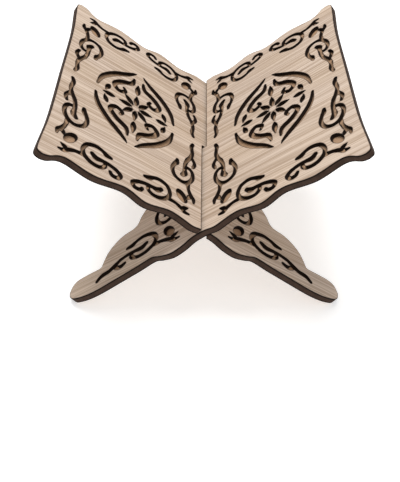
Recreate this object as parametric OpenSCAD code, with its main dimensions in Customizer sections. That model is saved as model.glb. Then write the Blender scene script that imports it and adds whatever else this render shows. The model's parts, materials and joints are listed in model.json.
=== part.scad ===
// A folding book stand made of two pierced plates that slot through each other.
// Each plate is a pierced face board glued on a plain backing board.
// X runs across the stand, Y along the crossing line (near side is -Y), Z up.
// The origin is on the table under the middle of the crossing line.

/* [Plates] */
// Width of each plate between its near and far corner tips
plate_w = 200; // [160:1:280]
// Length of the reading half, from the crossing line to the outer edge
reading_l = 136; // [110:1:180]
// Length of the leg half, from the crossing line to the foot end
leg_l = 131; // [110:1:180]
// Thickness of the pierced face board
face_t = 3; // [2:0.1:5]
// Thickness of the plain backing board
back_t = 3; // [2:0.1:5]
// Slope of each plate above the table when it is fully open, in degrees
splay = 36; // [30:0.5:42]

/* [Edges] */
// Depth of the waves along the near and far edges
wave_depth = 4.5; // [0:0.5:8]
// How far the corner tips stand proud of the wave crests
tip_rise = 3; // [0:0.5:6]
// How far the outer edge is drawn in between its corners
outer_hollow = 2; // [0:0.5:5]
// Width of each foot
foot_w = 20; // [14:1:30]
// Width of each leg at its widest, below the arch
leg_w = 46; // [34:1:56]
// Distance from the crossing line to the top of the arch
arch_top = 14; // [10:0.5:24]

/* [Joint] */
// Play of a plate across the other plate's slot
slot_play = 0.4; // [0.2:0.1:1.5]
// Gap between the closed ends of the two slots
slot_end_gap = 0.5; // [0.2:0.1:2]

/* [Fretwork] */
// Width of the vine strokes
vine_w = 2.6; // [1.6:0.1:3.4]
// Distance from the near and far edges to the ring centres nearest them
border_inset = 23.5; // [20:0.5:32]
// Distance from the outer edge to the ring centres nearest it
outer_inset = 19.5; // [17:0.5:28]
// Distance from the crossing line to the ring centres nearest it
seam_inset = 22.5; // [18:0.5:28]
// Wood between the two scrolls that face each other along an edge
hook_gap = 10; // [4:0.5:20]
// Length of the round drop in each corner
drop_l = 13; // [6:0.5:14]
// Distance from the medallion's sides to the ring centres beside them
medallion_side_gap = 10; // [8:0.5:20]
// Distance from the medallion's points to the ring centres nearest them
medallion_end_gap = 30.5; // [28:0.5:45]

/* [Hidden] */

board_t = face_t + back_t;
half_w = plate_w / 2;
slot_w = board_t / tan(splay) + slot_play;
// The lowest point is the lower arris of the rounded foot end
cross_h = leg_l * sin(splay) + board_t / 2 * cos(splay);
// How far the outer edge stands past the reading length at its corners
corner_reach = 1.5;
arch_half = half_w - leg_w;
leg_taper = leg_w - foot_w;
// A run of two facing scrolls is ring_span rings long, and a corner and its side tail
// need tail_span rings of the half width
ring_span = 8.84;
tail_span = 5.8;
ring_run = reading_l - seam_inset - outer_inset;
ring_r = min((ring_run - hook_gap) / ring_span, (half_w - border_inset) / tail_span);
// The scroll under the leg's border shrinks to the wood left above the arch
leg_ring_r = min(ring_r, (half_w - border_inset - ring_r - arch_half * 0.6) / 3.6);
medallion_w = ring_run - 2 * medallion_side_gap;
medallion_h = plate_w - 2 * (border_inset + medallion_end_gap);
// Reach and stroke of the flower, kept within whichever of the two is tighter
flower_r = min(medallion_w / 2, medallion_h * 0.403);
flower_stroke = min(vine_w, flower_r / 14);
outline_steps = 4;
vine_steps = 3;
face_colour = [0.84, 0.78, 0.71];
back_colour = [0.74, 0.66, 0.57];

// A smooth curve through the points: each stretch is a cubic whose slope at a
// point is half the step between that point's two neighbours.
function cubic(a, b, c, d, t) =
    b + 0.5 * t * (c - a + t * (2 * a - 5 * b + 4 * c - d + t * (3 * (b - c) + d - a)));
function through(points, steps = outline_steps) = let (last = len(points) - 1) [
    for (i = [0:last - 1]) for (k = [0:steps - 1])
        cubic(points[max(i - 1, 0)], points[i], points[i + 1],
              points[min(i + 2, last)], k / steps),
    points[last]
];
function flipped(points) = [for (i = [len(points) - 1:-1:0]) [points[i].x, -points[i].y]];

// ---- outline, in plate coordinates: x along the plate, y across it ----

// Crests and hollows of the wavy edge as [share of the reading length, hollow depth]
edge_waves = [[0.095, 0.1], [0.23, 0.9], [0.38, 0], [0.51, 1], [0.69, 0.1], [0.86, 0.8]];

reading_edge = through(concat(
    [for (wave = edge_waves) [reading_l * wave[0], half_w - tip_rise - wave_depth * wave[1]]],
    [[reading_l - 8, half_w - 1], [reading_l - 3, half_w]]));

corner_tip = through([
    [reading_l - 3, half_w], [reading_l + 0.5, half_w - 1.5],
    [reading_l + corner_reach, half_w - 5], [reading_l + 1, half_w - 14],
    [reading_l + 1 - outer_hollow, half_w * 0.55], [reading_l + 1 - outer_hollow, 0]]);

// From the foot end, along the outer side of the leg, to the crossing line
leg_outside = through([
    [-leg_l, half_w - foot_w / 2], [-leg_l + 1, half_w - foot_w * 0.26],
    [-leg_l + 4.5, half_w - 2], [-leg_l + 10, half_w - 0.2]]);
hip = through([
    [-leg_l * 0.6, half_w - 0.2], [-leg_l * 0.47, half_w - 1.8], [-leg_l * 0.36, half_w - 3.6],
    [-leg_l * 0.3, half_w - 1], [-leg_l * 0.22, half_w + 1.6], [-leg_l * 0.14, half_w],
    [-leg_l * 0.07, half_w - 3.5], [0, half_w - tip_rise - 1.5]]);

// From the middle of the arch, down the inner side of the leg, to the foot end
arch_drop = leg_l * 0.33 - arch_top;
arch_side = through([
    [-arch_top, 0], [-arch_top - arch_drop * 0.03, arch_half * 0.17],
    [-arch_top - arch_drop * 0.17, arch_half * 0.33],
    [-arch_top - arch_drop * 0.48, arch_half * 0.48], [-leg_l * 0.33, arch_half * 0.59],
    [-leg_l * 0.42, arch_half * 0.7], [-leg_l * 0.46, arch_half * 0.81]]);
leg_inside = through([
    [-leg_l * 0.5, arch_half - leg_taper * 0.04],
    [-leg_l * 0.525, arch_half + leg_taper * 0.02],
    [-leg_l * 0.6, arch_half + leg_taper * 0.08], [-leg_l * 0.67, arch_half + leg_taper * 0.27],
    [-leg_l * 0.72, arch_half + leg_taper * 0.54],
    [-leg_l * 0.755, arch_half + leg_taper * 0.96]]);
foot_inside = through([
    [-leg_l * 0.77, half_w - foot_w], [-leg_l * 0.85, half_w - foot_w],
    [-leg_l + 8, half_w - foot_w + 0.8], [-leg_l + 2.5, half_w - foot_w * 0.8],
    [-leg_l, half_w - foot_w / 2]]);

half_outline = concat(arch_side, leg_inside, foot_inside, leg_outside, hip,
                      reading_edge, corner_tip);

module plate_outline() {
    offset(delta = 0.01) polygon(concat(half_outline, flipped(half_outline)));
}

// The slot runs in from one edge past the middle; side is +1 for a slot in the far half
module slot(side) {
    translate([-slot_w / 2, side > 0 ? -slot_end_gap / 2 : -plate_w])
        square([slot_w, plate_w + slot_end_gap / 2]);
}

// ---- fretwork, in plate coordinates ----

// A vine stroke through [x, y, width share] points, with round ends
module vine(points, stroke = vine_w) {
    run = through(points, vine_steps);
    last = len(run) - 1;
    ribs = [for (i = [0:last])
        let (a = run[max(i - 1, 0)], b = run[min(i + 1, last)],
             along = [b.x - a.x, b.y - a.y] / norm([b.x - a.x, b.y - a.y]),
             reach = run[i][2] * stroke / 2)
            [[run[i].x - along.y * reach, run[i].y + along.x * reach],
             [run[i].x + along.y * reach, run[i].y - along.x * reach]]];
    for (i = [0:last - 1])
        polygon([ribs[i][0], ribs[i + 1][0], ribs[i + 1][1], ribs[i][1]]);
    for (end = [run[0], run[last]])
        translate([end.x, end.y]) circle(d = end[2] * stroke, $fn = 10);
}

// A leaf-shaped cut of the given length and width, pointing along x
module leaf(length, width) {
    rise = [for (k = [0:8]) [length * k / 8, width / 2 * sin(180 * pow(k / 8, 0.8))]];
    polygon(concat(rise, [for (k = [7:-1:1]) [rise[k].x, -rise[k].y]]));
}

// A long round cut, centred, pointing along x
module drop() {
    scale([1, 0.6]) circle(d = min(drop_l, ring_r * 1.4), $fn = 24);
}

// A scroll: a ring of ring_r about the origin, a vine out of its middle and a leafy stem
// behind. The vine hooks, or runs on for a long enough tail that bends outward by droop
// and is swell times wider. +x is along the border, +y is inward.
module scroll(tail = 0, stretch = 1, stem = true, droop = 0, swell = 1) {
    r = ring_r;
    scale([stretch, 1]) {
        vine([[r * 1.35, r * 0.55, 0.9], [r * 0.95, r * 0.62, 1.5], [r * 0.6, r * 0.85, 1.1],
              [0, r, 1.2], [-r * 0.7, r * 0.75, 1.2], [-r, r * 0.1, 1.1],
              [-r * 0.8, -r * 0.5, 1.2], [-r * 0.2, -r * 0.92, 1.2], [r * 0.5, -r * 0.98, 1.1],
              [r * 0.92, -r * 0.7, 1.1], [r * 0.95, -r * 0.3, 1]]);
        vine([[-r * 0.2, r * 0.05, 1.2], [r * 0.15, -r * 0.22, 1.7], [r * 0.6, -r * 0.2, 1.2],
              [r * 1.25, -r * 0.22, 1.1], [r * 1.9, -r * 0.4, 1.2]]);
        if (stem) {
            vine([[-r * 0.85, -r * 0.55, 1.3], [-r * 1.5, -r * 0.6, 1],
                  [-r * 2.1, -r * 0.85, 1.3], [-r * 2.4, -r * 1.1, 1.2],
                  [-r * 2.8, -r * 1.12, 0.5]]);
            translate([-r * 2.1, -r * 0.85]) rotate(150) leaf(r * 0.75, vine_w * 1.2);
        }
    }
    translate([r * 1.9 * stretch, -r * 0.4])
        if (tail > r * 0.6) {
            vine([[0, 0, 1.2], [tail * 0.25, -r * 0.35, 1.2 * swell],
                  [tail * 0.5, -r * 0.5 - droop * 0.25, 1.1 * swell],
                  [tail * 0.8, -r * 0.4 - droop * 0.64, 1.2 * swell],
                  [tail, -r * 0.55 - droop, 0.9 * swell]]);
            vine([[tail * 0.3, -r * 0.35 - droop * 0.1, 1], [0, -r * 0.75, 1.1 * swell],
                  [-r * 0.55, -r * 0.6, 0.8 * swell]]);
        } else
            vine([[0, 0, 1.2], [r * 0.42, -r * 0.35, 1.2], [r * 0.2, -r * 0.75, 1.2],
                  [-r * 0.25, -r * 0.75, 1.2], [-r * 0.45, -r * 0.5, 0.9]]);
}

// One corner of the border: x from the side edge and y from the near or far edge inward
module corner_scrolls(side_tail) {
    drop_at = ring_r * 0.5;
    translate([ring_r * 2.1, 0]) scroll();
    translate([0, ring_r * 3.15]) mirror([1, -1]) scroll(tail = side_tail);
    translate([0, drop_at]) rotate(55) drop();
}

module reading_border() {
    side_tail = half_w - border_inset - ring_r * 5.6;
    for (far = [1, -1]) {
        translate([seam_inset, far * (half_w - border_inset)])
            scale([1, -far]) corner_scrolls(side_tail);
        translate([reading_l - outer_inset, far * (half_w - border_inset)])
            scale([-1, -far]) corner_scrolls(side_tail);
    }
}

module leg_border() {
    for (far = [1, -1]) scale([-1, far]) {
        translate([leg_l * 0.425, half_w - border_inset + 2])
            scale([1, -1]) scroll(tail = leg_l * 0.17, stretch = 1.3, droop = 5, swell = 1.3);
        translate([leg_l * 0.235, half_w - border_inset + 1])
            rotate(-50) drop();
        translate([leg_l * 0.265, half_w - border_inset - ring_r - leg_ring_r * 1.15])
            rotate(-90) scale(leg_ring_r / ring_r) scroll(stem = false);
    }
}

// A pointed oval of broken vines round an eight-petalled flower
module medallion() {
    a = medallion_w / 2;
    b = medallion_h / 2;
    for (s = [1, -1]) for (t = [1, -1]) scale([s, t]) {
        vine([[a * 0.09, b, 0.4], [a * 0.3, b * 0.84, 1.5], [a * 0.62, b * 0.64, 1.9],
              [a * 0.88, b * 0.38, 1.6], [a * 0.97, b * 0.12, 0.5]], flower_stroke);
        vine([[a * 0.12, b * 0.8, 0.6], [a * 0.17, b * 0.64, 1.6], [a * 0.42, b * 0.52, 1.8],
              [a * 0.58, b * 0.36, 1.6], [a * 0.46, b * 0.24, 1.4], [a * 0.3, b * 0.3, 1.2],
              [a * 0.34, b * 0.38, 0.8]], flower_stroke);
        translate([a * 0.68, b * 0.26]) rotate(-70) leaf(b * 0.2, flower_stroke * 1.5);
    }
    for (k = [0:7]) rotate(k * 45)
        translate([flower_r * 0.1, 0]) leaf(flower_r * 0.32, flower_stroke * 1.7);
    for (t = [0, 180]) rotate(t)
        translate([a * 0.52, 0]) leaf(a * 0.3, flower_stroke * 1.6);
    for (t = [90, 270]) rotate(t)
        translate([b * 0.38, 0]) leaf(b * 0.3, flower_stroke * 1.8);
}

module fretwork() {
    offset(delta = -0.15) offset(delta = 0.15) {
        reading_border();
        leg_border();
        translate([(seam_inset + reading_l - outer_inset) / 2, 0]) medallion();
    }
}

// ---- the two plates ----

// Lays a plate drawn flat at its slope; side is +1 for the plate that reads on the right
module lay(side) {
    translate([0, 0, cross_h]) scale([side, 1, 1]) rotate([0, -splay, 0]) children();
}

module backing_board(side) {
    color(back_colour) translate([0, 0, -board_t / 2]) linear_extrude(back_t)
        difference() {
            plate_outline();
            slot(side);
        }
}

module fretwork_face(side) {
    color(face_colour) translate([0, 0, -board_t / 2 + back_t]) linear_extrude(face_t)
        difference() {
            plate_outline();
            slot(side);
            fretwork();
        }
}

module left_backing_board() { lay(-1) backing_board(-1); }
module left_fretwork_face() { lay(-1) fretwork_face(-1); }
module right_backing_board() { lay(1) backing_board(1); }
module right_fretwork_face() { lay(1) fretwork_face(1); }

left_backing_board();
left_fretwork_face();
right_backing_board();
right_fretwork_face();
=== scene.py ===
import json
import math
import bmesh
import bpy
import numpy as np
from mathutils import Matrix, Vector
from mathutils.geometry import delaunay_2d_cdt


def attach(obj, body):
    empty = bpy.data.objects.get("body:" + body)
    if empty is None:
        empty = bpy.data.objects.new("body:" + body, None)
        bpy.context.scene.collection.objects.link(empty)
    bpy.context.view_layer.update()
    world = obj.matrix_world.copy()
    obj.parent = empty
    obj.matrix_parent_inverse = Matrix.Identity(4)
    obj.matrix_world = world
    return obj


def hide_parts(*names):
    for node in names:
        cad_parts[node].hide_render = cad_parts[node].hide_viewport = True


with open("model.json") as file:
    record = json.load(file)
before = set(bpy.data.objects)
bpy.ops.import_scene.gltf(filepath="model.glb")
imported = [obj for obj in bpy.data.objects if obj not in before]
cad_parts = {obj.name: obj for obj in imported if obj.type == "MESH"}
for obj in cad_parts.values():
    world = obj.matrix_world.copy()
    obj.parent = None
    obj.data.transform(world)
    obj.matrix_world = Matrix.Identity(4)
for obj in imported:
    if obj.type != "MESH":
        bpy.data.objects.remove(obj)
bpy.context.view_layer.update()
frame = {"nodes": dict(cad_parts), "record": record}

print("frame loaded:", sorted(frame["nodes"]))

mm = 0.001
record = frame["record"]
mounts = {m["name"]: m for m in record["mounts"]}
crossing = np.array(record["behaviour"]["joints"][0]["pos_m"])   # a point on the crossing line

boards = {
    "arrisRadius": 0.25 * mm,     # rounding of every sawn arris
    "spacing": 1.0 * mm,          # longest step along a smoothed outline
    "shortest": 0.35 * mm,        # outline steps under this are dropped
    "cornerTurn": 50,             # degrees: a sharper turn stays a corner
    "haloRings": (0.4, 0.8, 1.5),   # mm from a cut to the face's scorch points
    "floorGrid": 0.8 * mm,        # step of the points on the floors of the cuts
    "faceGrid": 4.0 * mm,         # step of the points on the plain parts
    "floorMargin": 0.3 * mm,      # floor points nearer to a cut's wall are left out
    "measureReach": 4 * mm,       # no distance to a cut is measured past this
    "mergeGap": 2e-3 * mm,        # points closer than this are one point
    "sharpAngle": 40,             # degrees: shading breaks at sharper folds
}


# ---- reading the plates' outlines from the frame ----

def plateAxes(side):
    # rows are the directions along the plate, across it and out of its upper face
    normal = np.array(mounts[side + "_reading_face"]["axis"])
    sign = 1 if side == "right" else -1
    along = np.array([normal[2], 0, -normal[0]]) * sign
    return np.array([along / np.linalg.norm(along), [0, 1, 0], normal])


def nodeTriangles(node, axes):
    # the node's triangles in plate coordinates, with equal points merged
    mesh = frame["nodes"][node].data
    mesh.calc_loop_triangles()
    points = np.empty(len(mesh.vertices) * 3)
    mesh.vertices.foreach_get("co", points)
    triangles = np.empty(len(mesh.loop_triangles) * 3, dtype=np.int64)
    mesh.loop_triangles.foreach_get("vertices", triangles)
    flat = (points.reshape(-1, 3) - crossing) @ axes.T
    keys, first, merged = np.unique(np.round(flat / boards["mergeGap"]).astype(np.int64), axis=0,
                                    return_index=True, return_inverse=True)
    return flat[first], merged.reshape(-1)[triangles].reshape(-1, 3)


def outlines(node, axes, top):
    # boundary loops of the node's upper or lower plane, each with the wood on its left
    points, triangles = nodeTriangles(node, axes)
    level = points[:, 2].max() if top else points[:, 2].min()
    cap = triangles[(np.abs(points[triangles, 2] - level) < 0.01 * mm).all(axis=1)]
    a, b, c = (points[cap[:, k], :2] for k in range(3))
    turn = (b - a)[:, 0] * (c - a)[:, 1] - (b - a)[:, 1] * (c - a)[:, 0]
    cap = np.where((turn > 0)[:, None], cap, cap[:, ::-1])
    start = cap.reshape(-1)
    end = np.roll(cap, -1, axis=1).reshape(-1)
    count = len(points)
    rim = ~np.isin(start * count + end, end * count + start)
    following = np.arange(count)
    following[start[rim]] = end[rim]
    # each loop's leader is its lowest index, found by doubling the stride
    leader, hop = np.arange(count), following.copy()
    for k in range(15):
        leader, hop = np.minimum(leader, leader[hop]), hop[hop]
    # steps left to the leader give the order round the loop
    isLeader = leader == np.arange(count)
    steps = np.where(isLeader, 0, 1)
    hop = np.where(isLeader, np.arange(count), following)
    for k in range(15):
        steps, hop = steps + steps[hop], hop[hop]
    onRim = np.unique(start[rim])
    order = onRim[np.lexsort((-steps[onRim], leader[onRim]))]
    cuts = np.flatnonzero(np.diff(leader[order])) + 1
    return [points[run, :2] for run in np.split(order, cuts)], level


def smoothed(loop):
    # cubic through the loop's points; its slope at a point is the parabola's through
    # that point and its neighbours, except at a corner, where each side keeps its own
    gap = np.linalg.norm(loop - np.roll(loop, 1, axis=0), axis=1)
    p = loop[gap > boards["shortest"]]
    step = np.roll(p, -1, axis=0) - p
    length = np.linalg.norm(step, axis=1)[:, None]
    out = step / length
    into = np.roll(out, 1, axis=0)
    before = np.roll(length, 1, axis=0)
    corner = (out * into).sum(axis=1)[:, None] < math.cos(math.radians(boards["cornerTurn"]))
    slope = (into * length + out * before) / (length + before)
    leave = np.where(corner, out, slope)
    arrive = np.roll(np.where(corner, into, slope), -1, axis=0)
    parts = np.ceil(length[:, 0] / boards["spacing"]).astype(int)
    run = np.repeat(np.arange(len(p)), parts)
    t = (np.arange(parts.sum()) - np.repeat(np.cumsum(parts) - parts, parts)) / parts[run]
    t = t[:, None]
    a, b, h = p[run], np.roll(p, -1, axis=0)[run], length[run]
    return ((2 * t**3 - 3 * t**2 + 1) * a + (t**3 - 2 * t**2 + t) * h * leave[run]
            + (3 * t**2 - 2 * t**3) * b + (t**3 - t**2) * h * arrive[run])


def inwardOf(loop):
    # unit direction into the wood at each point, lengthened a little at corners
    step = np.roll(loop, -1, axis=0) - loop
    side = np.stack([-step[:, 1], step[:, 0]], axis=1)
    side /= np.linalg.norm(side, axis=1)[:, None]
    both = side + np.roll(side, 1, axis=0)
    both /= np.linalg.norm(both, axis=1)[:, None]
    stretch = 1 / np.clip((both * side).sum(axis=1), 0.7, 1)
    return both * stretch[:, None]


# ---- measuring against outlines ----

def segmentsOf(loops):
    return (np.concatenate(loops), np.concatenate([np.roll(p, -1, axis=0) for p in loops]))


def inStrips(points, loops, reach, work):
    # the points are taken in narrow strips across the plate, each of which meets only
    # the stretches of outline within reach of it
    a, b = segmentsOf(loops)
    low, high = np.minimum(a[:, 0], b[:, 0]) - reach, np.maximum(a[:, 0], b[:, 0]) + reach
    order = np.argsort(points[:, 0], kind="stable")
    result = np.zeros(len(points))
    for strip in np.array_split(order, len(points) // 300 + 1):
        x = points[strip, 0]
        if len(x):
            near = (high >= x[0]) & (low <= x[-1])
            result[strip] = work(points[strip], a[near], b[near])
    return result


def gapTo(points, loops, reach=boards["measureReach"]):
    # distance from each point to the nearest stretch of any loop, up to reach
    def work(p, a, b):
        ab = b - a
        ap = p[:, None] - a
        t = np.clip((ap * ab).sum(axis=2) / (ab**2).sum(axis=1), 0, 1)
        away = ((ap - t[..., None] * ab)**2).sum(axis=2)
        return np.sqrt(away.min(axis=1, initial=reach**2))
    return inStrips(points, loops, reach, work)


def insideOf(points, loops):
    # a point is in the wood where a ray along +y crosses the loops an odd number of times
    def work(p, a, b):
        run = np.where(a[:, 0] == b[:, 0], 1, b[:, 0] - a[:, 0])
        x, y = p[:, :1], p[:, 1:]
        spans = (a[:, 0] > x) != (b[:, 0] > x)
        above = a[:, 1] + (x - a[:, 0]) * (b[:, 1] - a[:, 1]) / run > y
        return (spans & above).sum(axis=1) % 2
    return inStrips(points, loops, 0, work) > 0


def gridOver(loops, step):
    # rows of points a step apart over the loops' box, every other row moved half a step
    lo, hi = np.concatenate(loops).min(axis=0), np.concatenate(loops).max(axis=0)
    x, y = np.meshgrid(np.arange(lo[0], hi[0], step), np.arange(lo[1], hi[1], step))
    x = x + (np.arange(len(x)) % 2)[:, None] * step / 2
    return np.stack([x.ravel(), y.ravel()], axis=1)


# ---- building a board ----

def lipsOf(loops, radius):
    # the loops moved into the wood by the arris radius, or by less where the wood runs
    # out to a point too thin for it
    way = np.concatenate([np.roll(p, -1, axis=0) - p for p in loops])
    inward = np.concatenate([inwardOf(p) for p in loops])
    flat = np.concatenate(loops)
    ends = np.cumsum([len(p) for p in loops])
    after = np.arange(len(flat)) + 1
    after[ends - 1] = ends - [len(p) for p in loops]
    inset = np.full(len(flat), radius)
    for k in range(6):
        lip = flat + inward * inset[:, None]
        tight = gapTo(lip, loops, 1 * mm) < 0.95 * inset
        folded = ((lip[after] - lip) * way).sum(axis=1) < 0.1 * (way**2).sum(axis=1)
        tight |= folded
        tight[after[folded]] = True
        inset = np.where(tight, inset / 2, inset)
    inset[inset < radius / 20] = 0
    return np.split(flat + inward * inset[:, None], ends[:-1])


def cap(edges, extra, height, up, gaps, whole=False):
    # triangles that fill the wood inside the loops, through the extra points too; with
    # whole, they fill the first loop and the others only split it
    ends = np.cumsum([len(p) for p in edges])
    following = np.arange(ends[-1]) + 1
    following[ends - 1] = ends - [len(p) for p in edges]
    flat = np.concatenate(edges + [extra])
    # millimetres keep the triangulator's tolerance well under the point spacing
    made = delaunay_2d_cdt([Vector(p) for p in flat / mm],
                           list(zip(range(ends[-1]), following.tolist())), [], 0, 1e-6)
    points = np.array([tuple(p) for p in made[0]]) * mm
    source = np.array([(s or (0,))[0] for s in made[3]])
    faces = np.array(made[2])
    centres = points[faces].mean(axis=1)
    faces = faces[insideOf(centres, edges[:1] if whole else edges)]
    verts = np.column_stack([points, np.full(len(points), height)])
    return verts, faces if up else faces[:, ::-1], gaps[source]


def wall(loop, lip, radius, heights, towards):
    # the loop carried through the thickness, with a rounded arris up to its lip at the
    # end that is towards the plate's outside; heights run from the top down
    turns = np.linspace(0, math.pi / 2, 4)
    inward = lip - loop
    rounded = [(1 - math.sin(t), radius * (1 - math.cos(t))) for t in turns]
    if towards > 0:
        profile = [(share, heights[0] - sink) for share, sink in rounded] + [(0, heights[1])]
    else:
        profile = [(0, heights[0])] + [(share, heights[1] + sink)
                                       for share, sink in rounded[::-1]]
    rings = [np.column_stack([loop + inward * share, np.full(len(loop), height)])
             for share, height in profile]
    count = len(loop)
    here = np.arange(count)
    there = np.roll(here, -1)
    faces = [np.column_stack([low + here, low + there, high + there, high + here])
             for high, low in ((k * count, (k + 1) * count) for k in range(len(profile) - 1))]
    return np.concatenate(rings), np.concatenate(faces), np.zeros(count * len(profile))


def makeBoard(name, side, parts, materials):
    # parts are (verts, faces, gaps, material) in plate coordinates; a gap is the way to
    # the nearest cut, which the face's scorch and the floors' painted shade follow
    axes = plateAxes(side)
    base = np.cumsum([0] + [len(part[0]) for part in parts])
    faces, kinds = [], []
    for start, part in zip(base, parts):
        faces += (part[1] + start).tolist()
        kinds += [part[3]] * len(part[1])
    if side == "left":
        faces = [f[::-1] for f in faces]
    flat = np.concatenate([part[0] for part in parts])
    mesh = bpy.data.meshes.new(name)
    mesh.from_pydata((flat @ axes + crossing).tolist(), [], faces)
    mesh.polygons.foreach_set("material_index", kinds)
    gap = mesh.attributes.new("cutGap", "FLOAT", "POINT")
    gap.data.foreach_set("value", (np.concatenate([part[2] for part in parts]) / mm)
                         .astype(np.float32))
    work = bmesh.new()
    work.from_mesh(mesh)
    bmesh.ops.remove_doubles(work, verts=work.verts, dist=boards["mergeGap"])
    loose = [v for v in work.verts if not v.link_faces]
    bmesh.ops.delete(work, geom=loose, context="VERTS")
    work.to_mesh(mesh)
    work.free()
    for material in materials:
        mesh.materials.append(material)
    mesh.shade_smooth()
    mesh.set_sharp_from_angle(angle=math.radians(boards["sharpAngle"]))
    piece = bpy.data.objects.new(name, mesh)
    bpy.context.collection.objects.link(piece)
    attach(piece, side + "_plate")
    print(name, "made,", len(mesh.polygons), "faces")
    return piece


def scorchPoints(edges):
    # points at set distances from every edge carry its scorch, and a loose grid fills
    # the rest of the wood
    rings = []
    for k, far in enumerate(boards["haloRings"]):
        ring = np.concatenate([p + inwardOf(p) * far * mm for p in edges])[::k + 1]
        rings.append(ring[gapTo(ring, edges) > 0.9 * far * mm])
    loose = gridOver(edges, boards["faceGrid"])
    rings.append(loose[gapTo(loose, edges) > (boards["haloRings"][-1] + 1) * mm])
    extra = np.concatenate(rings)
    return extra[insideOf(extra, edges)]


def makePlate(side):
    axes = plateAxes(side)
    radius = boards["arrisRadius"]
    loops, top = outlines(side + "_fretwork_face", axes, True)
    backLoops, glue = outlines(side + "_backing_board", axes, True)
    base = outlines(side + "_backing_board", axes, False)[1]
    loops = sorted((smoothed(p) for p in loops), key=len)
    rim = smoothed(max(backLoops, key=len))
    holes = loops[:-1]
    none = np.zeros((0, 2))

    # face board
    extra = scorchPoints(loops)
    gaps = np.concatenate([np.zeros(sum(len(p) for p in loops)), gapTo(extra, loops)])
    lips = lipsOf(loops, radius)
    parts = [(*cap(lips, extra, top, True, gaps), 0),
             (*cap(loops, none, glue, False, gaps), 1)]
    parts += [(*wall(p, lip, radius, (top, glue), 1), 1 if p is loops[-1] else 2)
              for p, lip in zip(loops, lips)]
    # the cut walls get a second scorched edge with less brown: scorched wood like the outer
    # edges, darkened further as painted shade inside the narrow cuts
    face = makeBoard(side + "Fretwork", side, parts,
                     [faceWood(side), scorchedEdge(side),
                      scorchedEdge(side, "ShadedCutWall", 0.3)])
    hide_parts(side + "_fretwork_face")

    # backing board: close points on the floors of the cuts only
    floor = gridOver(holes, boards["floorGrid"])
    floor = floor[insideOf(floor, holes)]
    floorGaps = gapTo(floor, holes)
    clear = floorGaps > boards["floorMargin"]
    floor, floorGaps = floor[clear], floorGaps[clear]
    gaps = np.concatenate([np.zeros(len(rim) + sum(len(p) for p in holes)), floorGaps])
    under = scorchPoints([rim])
    underGaps = np.concatenate([np.zeros(len(rim)), gapTo(under, [rim])])
    lip = lipsOf([rim], radius)[0]
    parts = [(*cap([rim] + holes, floor, glue, True, gaps, whole=True), 0),
             (*wall(rim, lip, radius, (glue, base), -1), 1),
             (*cap([lip], under, base, False, underGaps), 2)]
    back = makeBoard(side + "Backing", side, parts,
                     [floorWood(side), scorchedEdge(side), backWood(side)])
    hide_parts(side + "_backing_board")


# ---- materials ----

class Wire:
    # a socket that takes part in Python sums
    def __init__(self, tree, socket):
        self.tree, self.socket = tree, socket

    def maths(self, operation, a, b=None):
        inputs = {0: a} if b is None else {0: a, 1: b}
        return addNode(self.tree, "ShaderNodeMath", {"operation": operation}, inputs)

    def __add__(self, other): return self.maths("ADD", self, other)
    def __radd__(self, other): return self.maths("ADD", other, self)
    def __sub__(self, other): return self.maths("SUBTRACT", self, other)
    def __rsub__(self, other): return self.maths("SUBTRACT", other, self)
    def __mul__(self, other): return self.maths("MULTIPLY", self, other)
    def __rmul__(self, other): return self.maths("MULTIPLY", other, self)

    def ramp(self, low, high, out0=0.0, out1=1.0):
        return addNode(self.tree, "ShaderNodeMapRange", {"interpolation_type": "SMOOTHSTEP"},
                       {"Value": self, "From Min": low, "From Max": high,
                        "To Min": out0, "To Max": out1})


def addNode(tree, kind, settings, inputs, out=0):
    # settings first, because they change which sockets the node has
    made = tree.nodes.new(kind)
    for key, value in settings.items():
        setattr(made, key, value)
    for key, value in inputs.items():
        if isinstance(value, Wire):
            tree.links.new(value.socket, made.inputs[key])
        else:
            made.inputs[key].default_value = value
    return Wire(tree, made.outputs[out])


def blend(tree, factor, a, b, mode="MIX"):
    # a mixed with b; sockets 0, 6 and 7 are the Mix node's factor and its two colours
    made = tree.nodes.new("ShaderNodeMix")
    made.data_type, made.blend_type = "RGBA", mode
    for key, value in ((0, factor), (6, a), (7, b)):
        if isinstance(value, Wire):
            tree.links.new(value.socket, made.inputs[key])
        else:
            made.inputs[key].default_value = value if key == 0 else (*value, 1)
    return Wire(tree, made.outputs[2])


def newMaterial(name, roughness, specular=0.35):
    material = bpy.data.materials.new(name)
    material.use_nodes = True
    tree = material.node_tree
    shader = tree.nodes["Principled BSDF"]
    shader.inputs["Roughness"].default_value = roughness
    shader.inputs["Specular IOR Level"].default_value = specular
    return material, tree, shader


def setInput(tree, shader, key, wire):
    tree.links.new(wire.socket, shader.inputs[key])


def plateCoords(tree, side, drift):
    # metres along, across and out of the plate, moved on by drift so that no two
    # boards share their figure
    spot = addNode(tree, "ShaderNodeTexCoord", {}, {}, "Object")
    axes = plateAxes(side)
    return [addNode(tree, "ShaderNodeVectorMath", {"operation": "DOT_PRODUCT"},
                    {0: spot, 1: tuple(row)}, "Value") + (drift - float(row @ crossing))
            for row in axes]


def noise(tree, coords, scales, detail=2.0, rough=0.5):
    # noise with its own count of waves per metre in each plate direction
    spot = addNode(tree, "ShaderNodeCombineXYZ", {},
                   {k: c * s for k, (c, s) in enumerate(zip(coords, scales))})
    return addNode(tree, "ShaderNodeTexNoise", {},
                   {"Vector": spot, "Scale": 1.0, "Detail": detail, "Roughness": rough})


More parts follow.
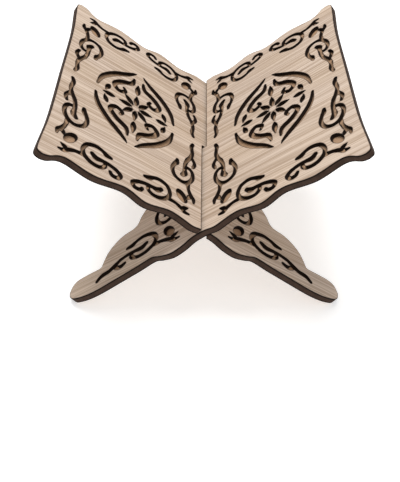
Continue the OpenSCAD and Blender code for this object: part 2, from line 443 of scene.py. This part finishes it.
def woodFigure(tree, coords):
    # broad bands, fine lines and short flecks, all running along the plate
    along, across, out = coords
    sway = noise(tree, coords, (9, 22, 22), 2.0) - 0.5
    bent = [along, across + sway * 0.006, out]
    bands = noise(tree, bent, (3, 75, 75), 3.0, 0.6)
    lines = noise(tree, bent, (9, 1150, 1150), 2.0, 0.6)
    flecks = noise(tree, bent, (300, 1900, 1900), 1.0)
    return bands, lines, flecks


# the floor colour is the backing board's own wood, made darker than the face's partly as painted
# shade of the cuts' recessed floors
woods = {
    "faceLight": (0.61, 0.495, 0.405), "faceDark": (0.33, 0.235, 0.165),
    "faceFleck": (0.26, 0.165, 0.11), "scorchAndShade": (0.009, 0.0055, 0.004),
    "smoke": (0.17, 0.09, 0.05), "floor": (0.43, 0.275, 0.17),
    "floorDark": (0.24, 0.14, 0.08), "edge": (0.062, 0.037, 0.026),
    "honey": (1.0, 0.975, 0.91), "back": (0.62, 0.49, 0.375), "backDark": (0.42, 0.30, 0.21),
}


def grained(tree, coords, light, dark, fleck, depth=1.0):
    bands, lines, flecks = woodFigure(tree, coords)
    tone = bands.ramp(0.3, 0.72) * 0.17 + lines.ramp(0.38, 0.62) * 0.75 * depth
    tint = noise(tree, coords, (12, 30, 30), 1.0).ramp(0.35, 0.65)
    colour = blend(tree, tone, light, dark)
    colour = blend(tree, tint * 0.6, colour, woods["honey"], "MULTIPLY")
    spots = flecks.ramp(0.66, 0.76) * bands.ramp(0.35, 0.6) * 0.35
    return blend(tree, spots, colour, fleck), lines, spots


def bumped(tree, shader, height, strength, distance):
    made = addNode(tree, "ShaderNodeBump", {}, {"Height": height, "Strength": strength,
                                                "Distance": distance}, "Normal")
    setInput(tree, shader, "Normal", made)


def raggedGap(tree, coords, scale, depth):
    # millimetres to the nearest cut, made ragged by noise of that depth
    gap = addNode(tree, "ShaderNodeAttribute", {"attribute_name": "cutGap"}, {}, "Fac")
    return gap + (noise(tree, coords, (scale, scale, scale), 2.0) - 0.5) * depth


def faceWood(side):
    material, tree, shader = newMaterial(side + "FaceWood", 0.55)
    coords = plateCoords(tree, side, 0.7 if side == "left" else 2.9)
    colour, lines, spots = grained(tree, coords, woods["faceLight"], woods["faceDark"],
                                   woods["faceFleck"])
    ragged = raggedGap(tree, coords, 420, 0.4)
    colour = blend(tree, ragged.ramp(0.3, 1.2, 0.4, 0.0), colour, woods["smoke"])
    colour = blend(tree, ragged.ramp(0.25, 0.62, 1.0, 0.0), colour, woods["scorchAndShade"])
    setInput(tree, shader, "Base Color", colour)
    setInput(tree, shader, "Roughness", lines * 0.18 + 0.46)
    bumped(tree, shader, lines - spots, 0.35, 0.05 * mm)
    return material


def scorchedEdge(side, name="ScorchedEdge", brown=1.0):
    material, tree, shader = newMaterial(side + name, 0.8, 0.1)
    coords = plateCoords(tree, side, 1.3)
    # the beam leaves fine ridges that run through the plate's thickness
    ridges = noise(tree, coords, (1500, 1500, 60), 2.0, 0.6)
    patches = noise(tree, coords, (120, 120, 160), 3.0)
    tone = ridges * 0.5 + patches * 0.5
    depth = addNode(tree, "ShaderNodeMath", {"operation": "ABSOLUTE"}, {0: coords[2] - 1.3})
    # the arrises at the two outer faces are burnt black
    inner = depth.ramp(0.0017, 0.0022, 1.0, 0.0)
    # brown under 1 pulls the whole wall towards the black scorch; the cut walls use it as
    # painted shade
    colour = blend(tree, tone.ramp(0.3, 0.6, 0.5, 1.0) * inner * brown,
                   woods["scorchAndShade"], woods["edge"])
    setInput(tree, shader, "Base Color", colour)
    bumped(tree, shader, ridges, 0.5, 0.08 * mm)
    return material


def floorWood(side):
    material, tree, shader = newMaterial(side + "FloorWood", 0.7, 0.25)
    coords = plateCoords(tree, side, 4.1)
    colour, lines, spots = grained(tree, coords, woods["floor"], woods["floorDark"],
                                   woods["scorchAndShade"], 0.7)
    ragged = raggedGap(tree, coords, 500, 0.6)
    # painted shade: the floors of the cuts darken to near black next to the cut walls, standing
    # in for the shade inside the narrow cuts
    colour = blend(tree, ragged.ramp(0.0, 0.9, 0.85, 0.0), colour, woods["scorchAndShade"])
    setInput(tree, shader, "Base Color", colour)
    bumped(tree, shader, lines, 0.4, 0.08 * mm)
    return material


def backWood(side):
    material, tree, shader = newMaterial(side + "BackWood", 0.6)
    coords = plateCoords(tree, side, 6.3 if side == "left" else 8.8)
    colour, lines, spots = grained(tree, coords, woods["back"], woods["backDark"],
                                   woods["faceFleck"])
    ragged = raggedGap(tree, coords, 420, 0.5)
    colour = blend(tree, ragged.ramp(0.2, 0.9, 0.8, 0.0), colour, woods["smoke"])
    setInput(tree, shader, "Base Color", colour)
    setInput(tree, shader, "Roughness", lines * 0.2 + 0.5)
    bumped(tree, shader, lines - spots, 0.35, 0.05 * mm)
    return material


for side in ("left", "right"):
    makePlate(side)
print("plates made")


# ---- floor, light and camera ----

studio = {
    "floorSize": 6.0, "floorColour": (0.8, 0.8, 0.8), "floorGlow": 0.45,
    "worldLight": 0.5, "aim": (0, 0, 0.08),
    "key": {"at": (-0.1, 0.35, 1.6), "size": 0.9, "power": 22},
    "fill": {"at": (0.5, -0.9, 1.3), "size": 1.2, "power": 3},
}


def makeFloor():
    half = studio["floorSize"] / 2
    mesh = bpy.data.meshes.new("tableTop")
    corners = [(-half, -half), (half, -half), (half, half), (-half, half)]
    mesh.from_pydata([(x, y, 0) for x, y in corners], [], [(0, 1, 2, 3)])
    material, tree, shader = newMaterial("tableTop", 0.5)
    shader.inputs["Base Color"].default_value = (*studio["floorColour"], 1)
    shader.inputs["Emission Color"].default_value = (1, 1, 1, 1)
    shader.inputs["Emission Strength"].default_value = studio["floorGlow"]
    mesh.materials.append(material)
    piece = bpy.data.objects.new("tableTop", mesh)
    bpy.context.collection.objects.link(piece)


def areaLight(name, at, size, power, aim):
    light = bpy.data.lights.new(name, "AREA")
    light.shape, light.size, light.energy = "DISK", size, power
    lamp = bpy.data.objects.new(name, light)
    bpy.context.collection.objects.link(lamp)
    lamp.location = at
    lamp.rotation_euler = (Vector(aim) - Vector(at)).to_track_quat("-Z", "Y").to_euler()


makeFloor()
for name in ("key", "fill"):
    areaLight(name, aim=studio["aim"], **studio[name])

world = bpy.data.worlds.new("studio")
world.use_nodes = True
world.node_tree.nodes["Background"].inputs["Color"].default_value = (1, 1, 1, 1)
world.node_tree.nodes["Background"].inputs["Strength"].default_value = studio["worldLight"]
bpy.context.scene.world = world
bpy.context.scene.view_settings.view_transform = "Standard"

camera = {
    "turn": 0.16, "rise": 39.73, "distance": 0.5893, "lens": 53.25,
    "aim": (0, -0.0041, 0.0831), "shift": (-0.0086, -0.1886),
}
turn, rise = math.radians(camera["turn"]), math.radians(camera["rise"])
back = Vector((math.sin(turn) * math.cos(rise), -math.cos(turn) * math.cos(rise),
               math.sin(rise)))
cameraData = bpy.data.cameras.new("camera")
cameraData.lens = camera["lens"]
cameraData.shift_x, cameraData.shift_y = camera["shift"]
cameraObject = bpy.data.objects.new("camera", cameraData)
bpy.context.collection.objects.link(cameraObject)
cameraObject.location = Vector(camera["aim"]) + back * camera["distance"]
cameraObject.rotation_euler = back.to_track_quat("Z", "Y").to_euler()
bpy.context.scene.camera = cameraObject
print("stage, lights and camera made")
